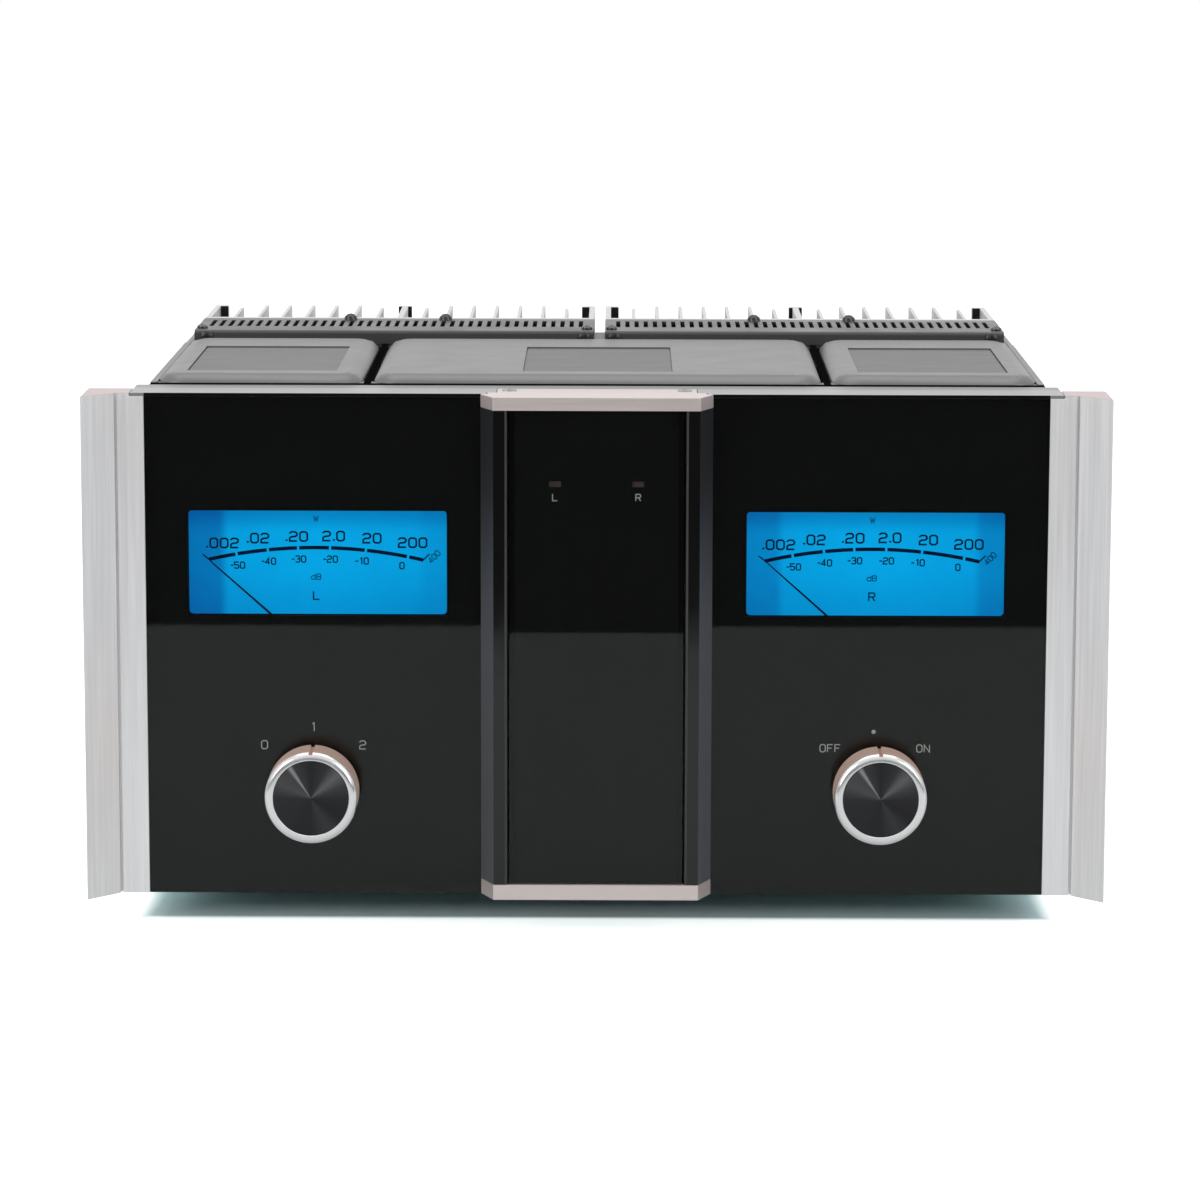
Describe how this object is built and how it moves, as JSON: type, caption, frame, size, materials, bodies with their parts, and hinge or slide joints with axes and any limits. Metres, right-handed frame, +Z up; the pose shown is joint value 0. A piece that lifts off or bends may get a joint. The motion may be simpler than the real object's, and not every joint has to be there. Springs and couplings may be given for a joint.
{
  "type": "stereo power amplifier",
  "caption": "Wide stereo power amplifier: black glass front with two pointer meters and two rotary knobs, metal end caps, transformer cans on top and finned heat sinks behind slotted hoods.",
  "frame": {"origin": "centre of the object's footprint, on the surface that the feet stand on", "axes": "+X to the right seen from the front, +Y to the rear, +Z up"},
  "size_m": [0.4444, 0.3632, 0.2469],
  "materials": {
    "front_glass": "polished",
    "black_steel": "matte black paint",
    "frame_black": "black satin",
    "trim": "satin",
    "end_cap": "brushed",
    "meter_case": "matte",
    "meter_dial": "lit from behind",
    "meter_needle": "matte",
    "switch_body": "zinc plated",
    "knob": "turned and polished",
    "knob_disc": "spun black",
    "chassis": "polished",
    "cover": "satin grey paint",
    "core": "varnished laminations",
    "plate": "satin",
    "heat_sink": "bare extrusion",
    "hood": "satin grey paint",
    "board": "green solder mask",
    "capacitor": "blue sleeve",
    "foot": "moulded",
    "terminal_plastic": "moulded",
    "terminal_cap": "gold plated"
  },
  "bodies": {
    "chassis": {"left_glass": "front_glass", "right_glass": "front_glass", "centre_glass": "front_glass", "front_subpanel": "black_steel", "centre_frame": "frame_black", "centre_cap_top": "trim", "centre_cap_bottom": "trim", "indicator_board": "board", "end_cap_left": "end_cap", "end_cap_right": "end_cap", "left_meter_case": "meter_case", "left_meter_dial": "meter_dial", "right_meter_case": "meter_case", "right_meter_dial": "meter_dial", "meter_switch": "switch_body", "power_switch": "switch_body", "chassis_tray": "chassis", "chassis_deck": "chassis", "left_output_transformer_cover": "cover", "left_output_transformer_core": "core", "left_output_transformer_nameplate": "plate", "power_transformer_cover": "cover", "power_transformer_core": "core", "power_transformer_nameplate": "plate", "right_output_transformer_cover": "cover", "right_output_transformer_core": "core", "right_output_transformer_nameplate": "plate", "left_heat_sink": "heat_sink", "left_hood": "hood", "left_output_board": "board", "right_heat_sink": "heat_sink", "right_hood": "hood", "right_output_board": "board", "power_supply_board": "board", "left_filter_capacitor": "capacitor", "right_filter_capacitor": "capacitor", "front_left_foot": "foot", "front_right_foot": "foot", "rear_left_foot": "foot", "rear_right_foot": "foot", "rear_panel": "chassis", "input_board": "board", "speaker_terminal_block": "terminal_plastic", "mains_inlet": "terminal_plastic"},
    "left_needle": {"left_meter_needle": "meter_needle"},
    "right_needle": {"right_meter_needle": "meter_needle"},
    "meter_selector": {"meter_knob": "knob", "meter_knob_disc": "knob_disc"},
    "power_selector": {"power_knob": "knob", "power_knob_disc": "knob_disc"},
    "mode_lever": {"mode_switch_lever": "terminal_plastic"},
    "drawer": {"fuse_drawer": "terminal_plastic"},
    "left_cap_1": {"left_terminal_cap_1": "terminal_cap"},
    "left_cap_2": {"left_terminal_cap_2": "terminal_cap"},
    "left_cap_3": {"left_terminal_cap_3": "terminal_cap"},
    "left_cap_4": {"left_terminal_cap_4": "terminal_cap"},
    "right_cap_1": {"right_terminal_cap_1": "terminal_cap"},
    "right_cap_2": {"right_terminal_cap_2": "terminal_cap"},
    "right_cap_3": {"right_terminal_cap_3": "terminal_cap"},
    "right_cap_4": {"right_terminal_cap_4": "terminal_cap"}
  },
  "joints": [
    {"name": "left_needle_swing", "type": "hinge", "parent": "chassis", "child": "left_needle", "pos_m": [-0.1219, -0.151, 0.1203], "axis": [0, 1, 0], "range_deg": [0, 96.8], "stiffness_Nm_per_rad": 0.0002, "springref_deg": -17.19},
    {"name": "right_needle_swing", "type": "hinge", "parent": "chassis", "child": "right_needle", "pos_m": [0.1219, -0.151, 0.1203], "axis": [0, 1, 0], "range_deg": [0, 96.8], "stiffness_Nm_per_rad": 0.0002, "springref_deg": -17.19},
    {"name": "meter_knob_turn", "type": "hinge", "parent": "chassis", "child": "meter_selector", "pos_m": [-0.124, -0.1816, 0.0625], "axis": [0, 1, 0], "range_deg": [-45, 45]},
    {"name": "power_knob_turn", "type": "hinge", "parent": "chassis", "child": "power_selector", "pos_m": [0.124, -0.1816, 0.0625], "axis": [0, 1, 0], "range_deg": [-45, 45]},
    {"name": "mode_lever_slide", "type": "slide", "parent": "chassis", "child": "mode_lever", "axis": [1, 0, 0], "range_m": [0, 0.005]},
    {"name": "drawer_slide", "type": "slide", "parent": "chassis", "child": "drawer", "axis": [0, 1, 0], "range_m": [0, 0.018]},
    {"name": "left_cap_1_unscrew", "type": "slide", "parent": "chassis", "child": "left_cap_1", "axis": [0, 1, 0], "range_m": [0, 0.006]},
    {"name": "left_cap_2_unscrew", "type": "slide", "parent": "chassis", "child": "left_cap_2", "axis": [0, 1, 0], "range_m": [0, 0.006]},
    {"name": "left_cap_3_unscrew", "type": "slide", "parent": "chassis", "child": "left_cap_3", "axis": [0, 1, 0], "range_m": [0, 0.006]},
    {"name": "left_cap_4_unscrew", "type": "slide", "parent": "chassis", "child": "left_cap_4", "axis": [0, 1, 0], "range_m": [0, 0.006]},
    {"name": "right_cap_1_unscrew", "type": "slide", "parent": "chassis", "child": "right_cap_1", "axis": [0, 1, 0], "range_m": [0, 0.006]},
    {"name": "right_cap_2_unscrew", "type": "slide", "parent": "chassis", "child": "right_cap_2", "axis": [0, 1, 0], "range_m": [0, 0.006]},
    {"name": "right_cap_3_unscrew", "type": "slide", "parent": "chassis", "child": "right_cap_3", "axis": [0, 1, 0], "range_m": [0, 0.006]},
    {"name": "right_cap_4_unscrew", "type": "slide", "parent": "chassis", "child": "right_cap_4", "axis": [0, 1, 0], "range_m": [0, 0.006]}
  ]
}
